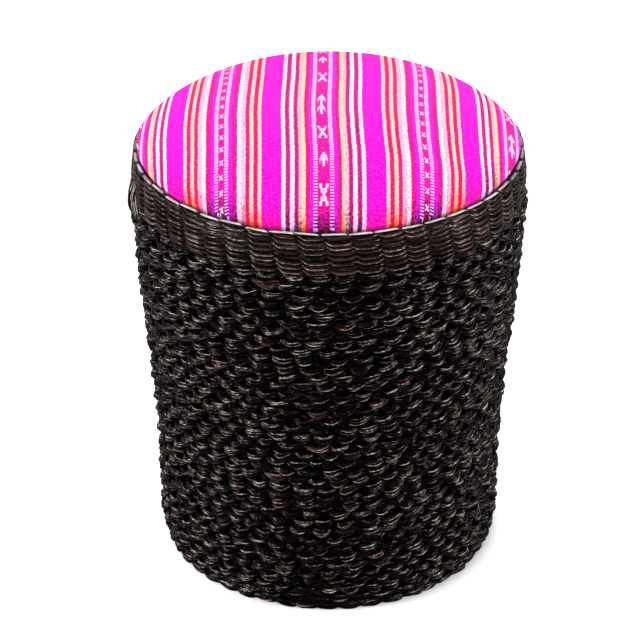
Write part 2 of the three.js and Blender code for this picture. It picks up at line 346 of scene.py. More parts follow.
# Cane, plywood, steel and foam
CANE_PALE = screen_colour(196, 150, 92)
CANE_DARK = screen_colour(150, 100, 52)
CANE_NODE = screen_colour(74, 45, 22)
RING_RADIUS = 155 * MM
NODE_PITCH = 130 * MM
NODE_WANDER = 20 * MM
VENEER_PALE = screen_colour(214, 176, 128)
VENEER_DARK = screen_colour(184, 140, 94)
PLY_PALE = screen_colour(205, 165, 118)
PLY_DARK = screen_colour(140, 98, 62)
PLY_PAIR = 3.4 * MM
STEEL_BRIGHT = screen_colour(176, 176, 172)
STEEL_TARNISHED = screen_colour(96, 88, 80)
FOAM_PALE = screen_colour(236, 222, 182)
FOAM_YELLOWED = screen_colour(218, 196, 142)


def points_of(mesh):
    flat = np.empty(len(mesh.vertices) * 3)
    mesh.vertices.foreach_get("co", flat)
    return flat.reshape(-1, 3)


def place_points(mesh, points):
    mesh.vertices.foreach_set("co", np.asarray(points, np.float32).ravel())
    mesh.update()


def mesh_from(shape, name):
    mesh = bpy.data.meshes.new(name)
    shape.to_mesh(mesh)
    shape.free()
    return mesh


def add_object(name, data):
    made = bpy.data.objects.new(name, data)
    scene.collection.objects.link(made)
    return made


def finish_piece(mesh, name, material, slot, *nodes):
    """Makes a mesh a piece of the stool that stands for the CAD nodes named."""
    mesh.shade_smooth()
    mesh.materials.append(material)
    piece = add_object(name, mesh)
    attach(piece, "root")
    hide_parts(*nodes)
    return piece


def mark_leaf(mesh, lays, tones, wears_and_highlights):
    """Stores what a leaf material reads at each point: its place on the leaf, its shade, painted shade
    included, and its wear, which carries a painted highlight too.
    """
    marks = (("lay", "VECTOR", lays), ("tone", "VALUE", tones), ("wear_and_highlight", "VALUE", wears_and_highlights))
    for name, kind, values in marks:
        layer = mesh.attributes.new(name, "FLOAT_VECTOR" if kind == "VECTOR" else "FLOAT", "POINT")
        layer.data.foreach_set(kind.lower(), np.asarray(values, np.float32).ravel())


def pile_leaves(shape, leaves):
    """One mesh with a copy of a shape for each leaf, given as its points, lays, tones and wears, the wears
    carrying painted highlights too.
    """
    pile = bmesh.new()
    for _ in leaves:
        pile.from_mesh(shape)
    mesh = mesh_from(pile, "pile")
    places, lays, tones, wears_and_highlights = (np.concatenate(part) for part in zip(*leaves))
    place_points(mesh, places)
    mark_leaf(mesh, lays, tones, wears_and_highlights)
    return mesh


def ease(share):
    share = np.clip(share, 0, 1)
    return share * share * (3 - 2 * share)


def grow(least, share):
    """A share that starts from a least one instead of from 0."""
    return least + (1 - least) * share


def wander(rng, spread, every=1.0):
    """A smooth random course round the drum, a function of the lump, with a value at every so many lumps."""
    knots = int(LUMPS / every)
    values = rng.normal(0, spread, knots)

    def course(lump):
        place = lump / every
        step = np.floor(place).astype(int)
        share = ease(place - step)
        return values[step % knots] * (1 - share) + values[(step + 1) % knots] * share
    return course


def round_place(radius, turn, height):
    """Points at a distance from the drum's axis, turned about it, at a height."""
    return np.stack([radius * np.cos(turn), radius * np.sin(turn), height], -1)


def wall_radius(height):
    levels, radii = zip(*WALL_SHARES)
    return DRUM_RADIUS * np.interp(height / WALL_HEIGHT, levels, radii)


def spin_round(outline, steps):
    """Turns an outline once round the drum's axis into a skin that faces outwards."""
    bmesh.ops.spin(outline, geom=outline.verts[:] + outline.edges[:], cent=(0, 0, 0), axis=(0, 0, 1),
                   angle=TURN, steps=steps, use_merge=True)
    bmesh.ops.remove_doubles(outline, verts=outline.verts[:], dist=0.01 * MM)
    bmesh.ops.recalc_face_normals(outline, faces=outline.faces[:])


def bent_tube(sides, steps):
    """A thin tube bent into a circle of radius 1 round the drum's axis."""
    tube = bmesh.new()
    upright = Matrix.Translation((1, 0, 0)) @ Matrix.Rotation(math.pi / 2, 4, "X")
    bmesh.ops.create_circle(tube, segments=sides, radius=0.1, matrix=upright)
    spin_round(tube, steps)
    return mesh_from(tube, "bent_tube")


def straight_rod(sides, cuts):
    """A rod along X from 0 to 1, with a section of radius 1, cut across so that it can bend."""
    rod = bmesh.new()
    lying = Matrix.Translation((0.5, 0, 0)) @ Matrix.Rotation(math.pi / 2, 4, "Y")
    bmesh.ops.create_cone(rod, cap_ends=True, segments=sides, radius1=1, radius2=1, depth=1, matrix=lying)
    long_edges = [edge for edge in rod.edges if abs(edge.verts[0].co.x - edge.verts[1].co.x) > 0.5]
    bmesh.ops.subdivide_edges(rod, edges=long_edges, cuts=cuts, use_grid_fill=True)
    bmesh.ops.recalc_face_normals(rod, faces=rod.faces[:])
    return mesh_from(rod, "straight_rod")


def spun_profile(profile, steps, name):
    """A profile of (radius, height) points turned round the drum's axis, closed where it meets the axis."""
    shape = bmesh.new()
    points = [shape.verts.new((radius, 0, height)) for radius, height in profile]
    for first, second in zip(points, points[1:]):
        shape.edges.new((first, second))
    spin_round(shape, steps)
    return mesh_from(shape, name)


def lump_fullness(lump):
    """How full a weft is: 1 in front of its stakes or behind them, and 0 where it passes between them."""
    return np.abs(np.cos(math.pi * lump)) ** 0.8


class Weft:
    """One of a row's two wefts: a bundle that runs outside a pair of stakes and inside the next by turns."""

    def __init__(self, rng, level, start, sway, swell):
        self.level, self.start, self.sway, self.swell = level, start, sway, swell
        self.shift, self.fullness = wander(rng, SHIFT_SPREAD), wander(rng, FULLNESS_SPREAD)
        self.reach, self.turning = wander(rng, REACH_SPREAD), wander(rng, TURNING_SPREAD)
        self.tone = wander(rng, WEFT_TONE_SPREAD)

    def place(self, lump, turn, lift):
        """Points so far off the bundle's skin, at places counted in lumps and turned about the bundle."""
        angle = (lump + self.start + self.shift(lump)) * TURN / LUMPS
        around = np.mod(angle / TURN * LUMPS, LUMPS)
        swing = np.cos(math.pi * lump)
        outside = swing > 0
        full = lump_fullness(lump) * (1 + self.fullness(lump))
        calm = np.interp(self.level, (0, CALM_HEIGHT), (CALM_LEAST, 1))
        depth = BUNDLE_DEPTH / 2 + np.where(outside, LUMP_DEPTH / 2 * full, 0) * calm + lift
        height = BUNDLE_HEIGHT / 2 + LUMP_HEIGHT / 2 * full * grow(0.5, calm) + lift
        turned = turn + FAN_TURN * np.sin(math.pi * lump) + self.turning(lump)
        out = np.where(outside, SWING_OUT * calm, SWING_IN) * swing * (1 + self.reach(lump))
        out = out - (SWING_OUT + LUMP_DEPTH / 2) * calm - SKIN_INSET
        out = out + depth * np.cos(turned)
        up = (WEFT_SLANT * np.sin(math.pi * lump) - WEFT_DROOP * swing) * calm + height * np.sin(turned)
        radius = wall_radius(self.level) + out + self.swell(around) * calm
        return round_place(radius, angle, np.maximum(self.level + up + self.sway(around), FLOOR_GAP))


def strand_points(rng, weft, lump, side, number):
    """One leaf strand of a weft, tilted so that its lower edge stands proud, with wear and a painted highlight
    along that edge and on its outer face.
    """
    full = lump_fullness(lump)
    low_share = 1 - number / (STRANDS - 1)
    middle = FAN_LOW + (FAN_HIGH - FAN_LOW) * number / (STRANDS - 1)
    size = 1 + rng.normal(0, SIZE_SPREAD)
    flat = STRAND_WIDTH / 2 * size * (1 + CROSSING_WIDENING * (1 - full)) * np.sin(side)
    thick = STRAND_THICKNESS / 2 * size * np.cos(side)
    tilt = (STRAND_TILT + wander(rng, TILT_SPREAD)(lump)) * full
    turn = middle + wander(rng, TURN_SPREAD)(lump) + wander(rng, KINK_SPREAD, every=0.5)(lump)
    turn = turn + (flat * np.cos(tilt) + thick * np.sin(tilt)) / FAN_RADIUS
    lift = thick * np.cos(tilt) - flat * np.sin(tilt) + wander(rng, LIFT_SPREAD, every=0.5)(lump)
    # Painted shade: the upper strands of a weft are darker, the lower ones paler
    tone = STRAND_TONE + LOW_STRAND_LIGHTENING * low_share + weft.tone(lump) + wander(rng, TONE_SPREAD)(lump)
    # Wear along the lower edge and the outer face, partly real and partly a painted highlight, stronger on the
    # lower strands
    edge = np.clip(-np.sin(side), 0, 1) + FACE_WEAR_AND_HIGHLIGHT * np.clip(np.cos(side), 0, 1)
    worn_and_lit = STRAND_WEAR_AND_HIGHLIGHT + LOW_STRAND_HIGHLIGHT * low_share + wander(rng, WEAR_HIGHLIGHT_SPREAD, every=0.5)(lump)
    wear_and_highlight = edge * full ** 0.4 * np.clip(worn_and_lit, 0, 1)
    lay = np.stack([lump / LUMPS * TURN * DRUM_RADIUS + rng.uniform(0, LEAF_LENGTH), flat, thick], -1)
    return weft.place(lump, turn, lift), lay, np.clip(tone, 0, 1), wear_and_highlight


def core_points(rng, weft, lump, side):
    """The leaves in the middle of a weft, which its strands lie on, in the darkest tone and without wear as
    painted shade between the strands.
    """
    across = np.sin(side)
    lift = CORE_RISE * np.abs(across) - CORE_DEPTH * (1 - 0.5 * np.cos(side))
    along = lump / LUMPS * TURN * DRUM_RADIUS + rng.uniform(0, LEAF_LENGTH)
    # Painted shade: darkest tone, no wear
    dark = np.zeros(len(lump))
    lay = np.stack([along, CORE_WIDTH / 2 * across, lift], -1)
    return weft.place(lump, CORE_TURN * across, lift), lay, dark, dark


def weave_wall(material):
    """The twined rows of the wall, in bands of rows that are pieces of their own."""
    strand = bent_tube(STRAND_SIDES, LUMPS * STEPS_PER_LUMP)
    x, y, z = points_of(strand).T
    lump = np.mod(np.arctan2(y, x) / TURN * LUMPS, LUMPS)
    side = np.arctan2(z, np.hypot(x, y) - 1)
    levels = np.linspace(ROW_MARGIN, WALL_HEIGHT - ROW_MARGIN, ROWS)
    rng = np.random.default_rng(WALL_SEED)
    for number, rows in enumerate(np.array_split(np.arange(ROWS), BANDS), start=1):
        leaves = []
        for row in rows:
            sway, swell = wander(rng, ROW_SPREAD, every=3), wander(rng, ROW_SPREAD)
            start = 0.5 * (row % 2) + rng.normal(0, ROW_SLIP_SPREAD)
            for phase in (0, 1):
                weft = Weft(rng, levels[row], start + phase, sway, swell)
                leaves += [strand_points(rng, weft, lump, side, index) for index in range(STRANDS)]
                leaves.append(core_points(rng, weft, lump, side))
        finish_piece(pile_leaves(strand, leaves), f"weave_band_{number}", material, "weave", "woven_wall")


def build_stakes(material):
    """The upright stakes inside the weave, one piece, each following the wall's outline."""
    stake = straight_rod(sides=6, cuts=24)
    share, across, deep = points_of(stake).T
    across, deep = STAKE_RADIUS * across, STAKE_RADIUS * deep
    height = share * (WALL_HEIGHT - 2 * MM) + MM
    radius = wall_radius(height) - STAKE_DEPTH - deep
    tones, wears_and_highlights = np.full(len(share), STAKE_TONE), np.zeros(len(share))
    leaves = []
    for number in range(STAKES):
        turn = (number + 0.5) / STAKES * TURN
        place = round_place(radius, turn, height) + round_place(across, turn + TURN / 4, 0 * height)
        leaves.append((place, np.stack([height + number, -deep, across], -1), tones, wears_and_highlights))
    finish_piece(pile_leaves(stake, leaves), "wall_stakes", material, "weave", "woven_wall")


def border_strip(rng, column, number, shape, column_rise, column_tone):
    """One strip of the border, or the flatter rim strip that closes its column at the top."""
    share, depth_share, height_share = shape
    rim = number == STRIPS
    slip, growth, lift, push = rng.normal(0, STRIP_SPREADS)
    pitch = (BORDER_TOP - RIM_THICKNESS - STRIP_FOOT) / STRIPS
    level = BORDER_TOP - RIM_THICKNESS / 2 if rim else STRIP_FOOT + (number + 0.5) * pitch
    rise_share = (level - STRIP_FOOT) / (BORDER_TOP - STRIP_FOOT)
    face = BORDER_RADIUS - BORDER_LEAN * ease((rise_share - LEAN_START) / (1 - LEAN_START))
    length = COLUMN_LENGTH + (RIM_OVERLAP if rim else STRIP_OVERLAP)
    angle = (column * COLUMN_LENGTH - COLUMN_SLANT * rise_share + slip + share * length) / BORDER_RADIUS
    into_nose = np.clip(share / NOSE_SHARE, 0, 1)
    nose = np.sqrt(into_nose * (2 - into_nose))
    nose_share, tail_share = 1 - ease(into_nose), ease((share - 1 + TAIL_SHARE) / TAIL_SHARE)
    middle = np.sin(math.pi * share)
    if rim:
        up, up_end = rng.normal(0, RIM_SPREADS)
        thickness = RIM_WIDTH / 2 * grow(RIM_NOSE, nose)
        half_height = RIM_THICKNESS / 2 * grow(RIM_NOSE, nose)
        radius = face - RIM_WIDTH / 2 + RIM_BULGE * middle
        rise = -RIM_THICKNESS * tail_share + up + up_end * share
    else:
        thickness = STRIP_THICKNESS / 2 * grow(NOSE_THICKNESS, nose) * (1 - TAIL_THINNING * tail_share)
        half_height = pitch / 2 * STRIP_FILL * grow(NOSE_HEIGHT, nose) * (1 - TAIL_NARROWING * tail_share)
        half_height = half_height * (1 + growth)
        radius = face - STRIP_THICKNESS / 2 - NOSE_TUCK * nose_share - TAIL_TUCK * tail_share
        radius = radius + STRIP_BULGE * middle + push
        rise = column_rise * (share - 0.5) + NOSE_RISE * nose_share + lift
    depth, high = thickness * depth_share, half_height * height_share
    lay = np.stack([share * length + rng.uniform(0, LEAF_LENGTH), depth, high], -1)
    if rim:
        # Rim strip: wear and a painted highlight on its top, painted brighter on the front half of the drum
        edge, front = 1.4 * height_share, -np.sin(angle)
        worn_and_lit, rubbed_and_lit = rng.normal(*RIM_WEAR_AND_HIGHLIGHT) * (0.55 + 0.45 * front), 1
    else:
        # Strip: wear and a painted highlight along its lower front edge
        edge = depth_share - height_share - 0.5
        worn_and_lit, rubbed_and_lit = rng.normal(*STRIP_WEAR_AND_HIGHLIGHT), 0.8 + 0.35 * column_tone
    wear_and_highlight = np.clip(edge, 0, 1) * (1 - TAIL_WEAR_AND_HIGHLIGHT_LOSS * tail_share) * np.clip(worn_and_lit, 0, 1) * rubbed_and_lit
    # Painted shade: each strip darker towards its top and bottom edges, next to the gaps between strips
    shade = column_tone + rng.normal(0, SHADE_SPREAD) - 0.8 * np.maximum(height_share ** 2 - 0.5, 0)
    return round_place(radius + depth, angle, level + rise + high), lay, np.clip(shade, 0, 1), wear_and_highlight


def plait_border(strip_finish, rim_finish):
    """The strips of the border, column by column, then the rim strips that close its top."""
    strip = straight_rod(sides=8, cuts=9)
    shape = points_of(strip).T
    shape[1:] = np.sign(shape[1:]) * np.abs(shape[1:]) ** STRIP_ROUNDNESS
    rng = np.random.default_rng(BORDER_SEED)
    layers = (("border_strips", range(STRIPS), strip_finish, 1),
              ("border_rim", [STRIPS], rim_finish, RIM_TONE_SHARE))
    for name, numbers, finish, tone_share in layers:
        leaves = []
        for column in range(COLUMNS):
            tone = rng.choice(COLUMN_TONES) * tone_share
            rise = STRIP_RISE * (1 + rng.normal(0, RISE_SPREAD))
            leaves += [border_strip(rng, column, number, shape, rise, tone) for number in numbers]
        finish_piece(pile_leaves(strip, leaves), name, finish, "border", "plaited_border")


def tuck_plait_end(material):
    """The plait's last ends, which bulge out at one place as they turn down into the weave."""
    strip = straight_rod(sides=8, cuts=11)
    share, across, deep = points_of(strip).T
    share = np.clip(share, 0, 1)
    middle_share = np.sin(math.pi * np.clip(share, 0.02, 0.98)) ** 0.5
    slim = 0.3 + 0.5 * middle_share
    height = END_TOP - (END_TOP - END_FOOT) * share
    # Wear and a painted highlight on the outer face of each end strip, towards one edge, fading to its ends
    wear_and_highlight = np.clip(0.45 + 0.4 * across - 0.4 * deep, 0, 1) * middle_share
    rng = np.random.default_rng(END_SEED)
    leaves = []
    for number in range(END_STRIPS):
        step = number / (END_STRIPS - 1) - 0.5
        turn = END_TURN + 0.5 * END_SPAN * step * (1 + share)
        turn = turn + END_WAVE * np.sin(TURN * share + rng.uniform(0, TURN))
        turn = turn + deep * END_WIDTH / 2 * slim / BORDER_RADIUS
        bulge = END_BULGE * rng.uniform(0.5, 1) * (1.2 - abs(step)) * np.sin(math.pi * share ** 1.3)
        radius = BORDER_RADIUS - END_INSET + bulge + across * STRIP_THICKNESS / 2 * slim
        lay = np.stack([height + number, across * MM, deep * MM], -1)
        tone = np.full(len(share), rng.uniform(0.5, 1))
        leaves.append((round_place(radius, turn, height), lay, tone, wear_and_highlight))
    finish_piece(pile_leaves(strip, leaves), "plait_end", material, "border", "plaited_border")


def build_border_core(material):
    """The stakes' bent ends inside the border, as one band in the darkest tone, painted shade for the gaps
    between the strips.
    """
    inner, outer, low, high = BORDER_CORE_INNER, BORDER_CORE_OUTER, BORDER_CORE_FOOT, BORDER_CORE_TOP
    profile = [(inner, low), (outer, low), (outer, (low + high) / 2), (outer - BORDER_LEAN, high),
               (inner, high), (inner, low)]
    core = spun_profile(profile, PLAIN_STEPS, "border_core")
    place = points_of(core)
    # Painted shade: darkest tone, no wear
    dark = np.zeros(len(place))
    mark_leaf(core, place, dark, dark)
    finish_piece(core, "border_core", material, "border", "plaited_border")


def dome_height(radius):
    share = np.minimum(radius / COVER_RADIUS, 1)
    return DOME_FOOT + (CROWN - DOME_FOOT) * (1 - share ** DOME_POWER) ** SHOULDER


def cushion_profile():
    """The cover from the edge of its flap, under the board and up the side, over the dome to the crown."""
    low = COVER_LOW.z + CLOTH_THICKNESS / 2
    flap = [(radius, low) for radius in np.linspace(FLAP_RADIUS, COVER_RADIUS - RIM_GAP - FLAP_CORNER, 8)]
    side = [(COVER_RADIUS - RIM_GAP * ease((DOME_FOOT - height) / (2 * RIM_GAP)), height)
            for height in np.linspace(low + FLAP_CORNER, DOME_FOOT, 13)]
    shares = np.sin(np.linspace(math.pi / 2, 0, 42)[1:])
    dome = [(COVER_RADIUS * share, dome_height(COVER_RADIUS * share)) for share in shares]
    return flap + side + dome


def arc_along(first, second):
    """Length over the dome to a point from its middle line, along the first direction."""
    walk = first[:, None] * np.linspace(0, 1, 65)
    height = dome_height(np.hypot(walk, second[:, None]))
    return np.sign(first) * np.hypot(np.diff(walk), np.diff(height)).sum(axis=1)


def lay_cloth(mesh):
    """Gives the cover its cloth coordinates in metres: across the stripes, and along them."""
    place = points_of(mesh)
    radius = np.hypot(place[:, 0], place[:, 1])
    drop = np.maximum(DOME_FOOT - place[:, 2], 0)
    under = place[:, 2] < COVER_LOW.z + CLOTH_THICKNESS
    drop = np.where(under, DOME_FOOT - COVER_LOW.z + COVER_RADIUS - radius, drop)
    edge = place / np.maximum(radius, MM)[:, None]
    across = arc_along(place[:, 0], place[:, 1]) + STRIPE_GATHER * drop * edge[:, 0]
    along = arc_along(place[:, 1], place[:, 0]) + drop * edge[:, 1]
    corners = np.empty(len(mesh.loops), int)
    mesh.loops.foreach_get("vertex_index", corners)
    layer = mesh.uv_layers.new(name="cloth")
    layer.data.foreach_set("uv", np.stack([across, along], -1)[corners].astype(np.float32).ravel())


def swell_cover(mesh):
    """Sinks the dome a little, lets it swell as cloth over the pad, and caps how far a point moves."""
    start = points_of(mesh)
    start[:, 2] -= SWELL_SINK * np.maximum(start[:, 2] - DOME_FOOT, 0)
    place_points(mesh, start)
    start = points_of(mesh)
    probe = add_object("swelling", mesh)
    held = probe.vertex_groups.new(name="held")
    held.add(np.flatnonzero(start[:, 2] <= DOME_FOOT + MM).tolist(), 1.0, "REPLACE")
    cloth = probe.modifiers.new("cloth", "CLOTH").settings
    cloth.use_pressure = True
    cloth.uniform_pressure_force = SWELL_PRESSURE
    cloth.vertex_group_mass = "held"
    cloth.quality = SWELL_QUALITY
    cloth.effector_weights.gravity = 0
    for number in range(1, SWELL_FRAMES + 1):
        scene.frame_set(number)
    solved = bpy.data.meshes.new_from_object(probe.evaluated_get(bpy.context.evaluated_depsgraph_get()))
    moved = points_of(solved) - start
    length = np.linalg.norm(moved, axis=1)
    scale = np.minimum(1, SWELL_CAP / np.maximum(length, 1e-9))
    scene.frame_set(1)
    bpy.data.objects.remove(probe)
    place_points(mesh, start + moved * scale[:, None])


def build_cover(material):
    """The cushion's cloth cover, pulled over the dome and turned in under the board."""
    cover = spun_profile(cushion_profile(), COVER_STEPS, "cover")
    lay_cloth(cover)
    swell_cover(cover)
    piece = finish_piece(cover, "cushion_cover", material, "cover", "seat_cover")
    wall = piece.modifiers.new("cloth thickness", "SOLIDIFY")
    wall.thickness = CLOTH_THICKNESS
    wall.offset = -1
    rounding = piece.modifiers.new("rounding", "SUBSURF")
    rounding.levels = rounding.render_levels = 1


def build_foam(material):
    """The foam pad under the cover, a closed dome a little smaller than it."""
    low, high = FOAM_LOW.z, FOAM_HIGH.z
    radius = FOAM_HIGH.x - RIM_GAP
    foot = DOME_FOOT - PAD_DROP
    dome = [(radius * share, foot + (high - foot) * (1 - share ** DOME_POWER) ** SHOULDER)
            for share in np.linspace(1, 0, 18)]
    underside = [(0, low), (radius * 0.5, low), (radius - PAD_CORNER, low), (radius, low + PAD_CORNER)]
    pad = spun_profile(underside + dome, PLAIN_STEPS, "foam")
    piece = finish_piece(pad, "foam_dome", material, "foam", "foam_pad")


class Wiring:
    """Places nodes in a node tree and joins them."""

    def __init__(self, tree):
        self.tree = tree

    def node(self, kind, **settings):
        made = self.tree.nodes.new("ShaderNode" + kind)
        for name, value in settings.items():
            setattr(made, name, value)
        return made

    def feed(self, socket, value):
        if isinstance(value, bpy.types.NodeSocket):
            self.tree.links.new(value, socket)
        else:
            socket.default_value = value

    def feed_in_order(self, made, values):
        for socket, value in zip(made.inputs, values):
            self.feed(socket, value)
        return made.outputs

    def feed_by_name(self, made, values):
        for name, value in values.items():
            self.feed(made.inputs[name], value)
        return made.outputs

    def math(self, operation, *values):
        return self.feed_in_order(self.node("Math", operation=operation), values)[0]

    def plus(self, first, second):
        return self.math("ADD", first, second)

    def minus(self, first, second):
        return self.math("SUBTRACT", first, second)

    def times(self, first, second):
        return self.math("MULTIPLY", first, second)

    def over(self, first, second):
        return self.math("DIVIDE", first, second)

    def steps(self, value, step):
        """How many whole steps a value holds."""
        return self.math("FLOOR", self.over(value, step))

    def size(self, value):
        return self.math("ABSOLUTE", value)

    def larger(self, first, second):
        return self.math("MAXIMUM", first, second)

    def clamp(self, value):
        return self.feed_by_name(self.node("Clamp"), {"Value": value})[0]

    def spread(self, value, low, high, new_low=0.0, new_high=1.0):
        """Turns a value's way from low to high into an eased way from new_low to new_high."""
        made = self.node("MapRange", interpolation_type="SMOOTHSTEP")
        ends = {"From Min": low, "From Max": high, "To Min": new_low, "To Max": new_high}
        return self.feed_by_name(made, {"Value": value, **ends})[0]

    def mix(self, share, first, second, blend="MIX"):
        made = self.node("Mix", data_type="RGBA", blend_type=blend)
        self.feed(made.inputs["Factor"], share)
        self.feed(made.inputs[6], first)
        self.feed(made.inputs[7], second)
        return made.outputs[2]

    def vector(self, x, y, z):
        return self.feed_in_order(self.node("CombineXYZ"), (x, y, z))[0]

    def split(self, vector):
        return self.feed_in_order(self.node("SeparateXYZ"), (vector,))

    def noise(self, vector, scale, detail=2.0, rough=0.5):
        values = {"Vector": vector, "Scale": scale, "Detail": detail, "Roughness": rough}
        return self.feed_by_name(self.node("TexNoise"), values)[0]

    def speckle(self, vector):
        return self.feed_by_name(self.node("TexWhiteNoise", noise_dimensions="3D"), {"Vector": vector})[0]

    def attribute(self, name, output="Fac"):
        return self.node("Attribute", attribute_name=name).outputs[output]

    def object_place(self):
        return self.node("TexCoord").outputs["Object"]

    def ramp(self, value, stops, interpolation="LINEAR"):
        made = self.node("ValToRGB")
        self.feed(made.inputs[0], value)
        ramp = made.color_ramp
        ramp.interpolation = interpolation
        while len(ramp.elements) > 1:
            ramp.elements.remove(ramp.elements[0])
        ramp.elements[0].position = stops[0][0]
        ramp.elements[0].color = stops[0][1]
        for position, colour in stops[1:]:
            ramp.elements.new(position).color = colour
        return made.outputs[0]

    def bump(self, height, distance, strength=1.0):
        values = {"Height": height, "Distance": distance, "Strength": strength}
        return self.feed_by_name(self.node("Bump"), values)[0]

    def group(self, tree, **values):
        return self.feed_by_name(self.node("Group", node_tree=tree), values)


def new_group(name, inputs, outputs):
    """An empty node group with named sockets, its wiring, and what goes in and out of it."""
    tree = bpy.data.node_groups.new(name, "ShaderNodeTree")
    for socket, kind in inputs:
        tree.interface.new_socket(socket, in_out="INPUT", socket_type=kind)
    for socket, kind in outputs:
        tree.interface.new_socket(socket, in_out="OUTPUT", socket_type=kind)
    into, out = tree.nodes.new("NodeGroupInput").outputs, tree.nodes.new("NodeGroupOutput").inputs
    return tree, Wiring(tree), into, out


def new_material(name, **sockets):
    """A material with the shader's plain values set, its shader's inputs and its wiring."""
    material = bpy.data.materials.new(name)
    material.use_nodes = True
    shader = material.node_tree.nodes["Principled BSDF"]
    for socket, value in sockets.items():
        shader.inputs[socket.replace("_", " ")].default_value = value
    return material, shader.inputs, Wiring(material.node_tree)


def grain_group():
    """Fibres along a strand or a stick: X of the vector runs along it, in metres."""
    tree, w, into, out = new_group(
        "Fibre grain",
        [("Vector", "NodeSocketVector"), ("Fineness", "NodeSocketFloat"), ("Stretch", "NodeSocketFloat")],
        [("Streak", "NodeSocketFloat"), ("Blotch", "NodeSocketFloat")],
    )
    x, y, z = w.split(into["Vector"])
    along = w.over(x, into["Stretch"])
    w.feed(out["Streak"], w.noise(w.vector(along, y, z), into["Fineness"], 3.0))
    w.feed(out["Blotch"], w.noise(into["Vector"], w.times(into["Fineness"], 0.06), 2.0))
    return tree


def figure_group():
    """One woven figure, five threads across: a cross, or an arrow where Arrow is 1."""
    names = ("Across", "Along", "Length", "Width", "Arrow", "Stroke")
    tree, w, into, out = new_group(
        "Woven figure", [(name, "NodeSocketFloat") for name in names], [("Mask", "NodeSocketFloat")])
    column = w.size(w.over(into["Across"], w.over(into["Width"], 5.0)))
    row = w.math("ROUND", w.over(into["Along"], w.over(into["Length"], 5.0)))
    level = w.size(row)
    cross = w.math("COMPARE", column, level, into["Stroke"])
    falling = w.math("COMPARE", column, w.minus(2.0, row), into["Stroke"])
    slope = w.times(falling, w.math("LESS_THAN", column, 2.5))
    stem = w.times(w.math("LESS_THAN", column, 0.7), w.math("LESS_THAN", row, 0.5))
    arrow = w.times(w.larger(slope, stem), into["Arrow"])
    shape = w.plus(arrow, w.times(cross, w.minus(1.0, into["Arrow"])))
    w.feed(out["Mask"], w.times(shape, w.math("LESS_THAN", level, 2.5)))
    return tree


def leaf_material(name, grain, tones, worn_and_lit, rough, streaks, crumple):
    """Dry, dark leaf with a waxy skin, paler where it is worn, the wear carrying a painted highlight too. A
    piece's points carry its shade and wear.
    """
    material, shader, w = new_material(name, Specular_IOR_Level=0.2, Specular_Tint=LEAF_SHINE,
                                       Coat_Weight=0.36, Coat_Roughness=0.6 * rough)
    lay = w.attribute("lay", "Vector")
    streak, blotch = w.group(grain, Vector=lay, Fineness=1300.0, Stretch=16.0)
    shade = w.ramp(w.attribute("tone"), tones)
    streaked = w.mix(w.spread(streak, 0.45, 0.7, 0.0, streaks), shade, LEAF_STREAK)
    patched = w.mix(w.spread(blotch, 0.42, 0.7, 0.0, 0.6), streaked, LEAF_PATCH)
    creases = w.noise(lay, 340.0, 2.0)
    broken = w.spread(creases, 0.42, 0.58, 1 - crumple, 1.0)
    # Painted highlight with the wear: where the wear mask is high, broken into short glints by streaks and
    # creases, the leaf turns the pale worn colour
    bright = w.times(w.spread(streak, 0.3, 0.6, 0.2, 1.0), broken)
    rubbed_and_lit = w.times(w.spread(w.attribute("wear_and_highlight"), 0.42, 0.8), bright)
    w.feed(shader["Base Color"], w.mix(rubbed_and_lit, patched, worn_and_lit))
    w.feed(shader["Roughness"], w.spread(streak, 0.35, 0.65, rough, rough + 0.1))
    relief = w.plus(streak, w.times(creases, 2.4 * crumple))
    w.feed(shader["Normal"], w.bump(relief, (0.15 + 0.35 * crumple) * MM))
    return material


def stripe_place(w, across, along):
    """How far across the pattern a point lies: stripes bow, jog by a thread and draw in at the front."""
    jog = w.speckle(w.vector(0.0, w.steps(along, JOG_PITCH), 3.0))
    bow = w.times(w.spread(w.size(w.minus(along, BOW_MIDDLE)), BOW_REACH, 0.0), BOW)
    pull = w.spread(along, PULL_START, PULL_FULL)
    sway = w.minus(w.plus(bow, w.times(jog, JOG)), w.times(pull, PULL))
    narrowing = w.minus(1.0, w.times(pull, PULL_NARROWING))
    return w.plus(w.times(w.minus(across, PATTERN_SHIFT), narrowing), sway)


def stripe_colours(w, folded, across, speck):
    """The colours of the threads, with painted shade that makes them deeper low down at the front and back, and
    less so at the sides.
    """
    starts = [0] + [end * MM / HALF_REPEAT for end, _ in STRIPES[:-1]]
    threads = [THREADS[name] for _, name in STRIPES]
    share = w.over(folded, HALF_REPEAT)
    upper, foot = (
        w.ramp(share, list(zip(starts, (screen_colour(*thread[part]) for thread in threads))), "CONSTANT")
        for part in (0, 1))
    # Painted shade: low on the dome each thread turns to its foot colour, over a line that wanders thread by
    # thread
    height = w.split(w.object_place())[2]
    shaded_height = w.plus(height, w.times(w.minus(speck, 0.5), 10 * MM))
    low_down = w.spread(shaded_height, BORDER_TOP + DEEP_HEIGHT, BORDER_TOP + DEEP_LEAST)
    near_rim = w.times(low_down, w.spread(w.size(across), DEEP_END, DEEP_REACH, 0.2, 1.0))
    return w.mix(near_rim, upper, foot)


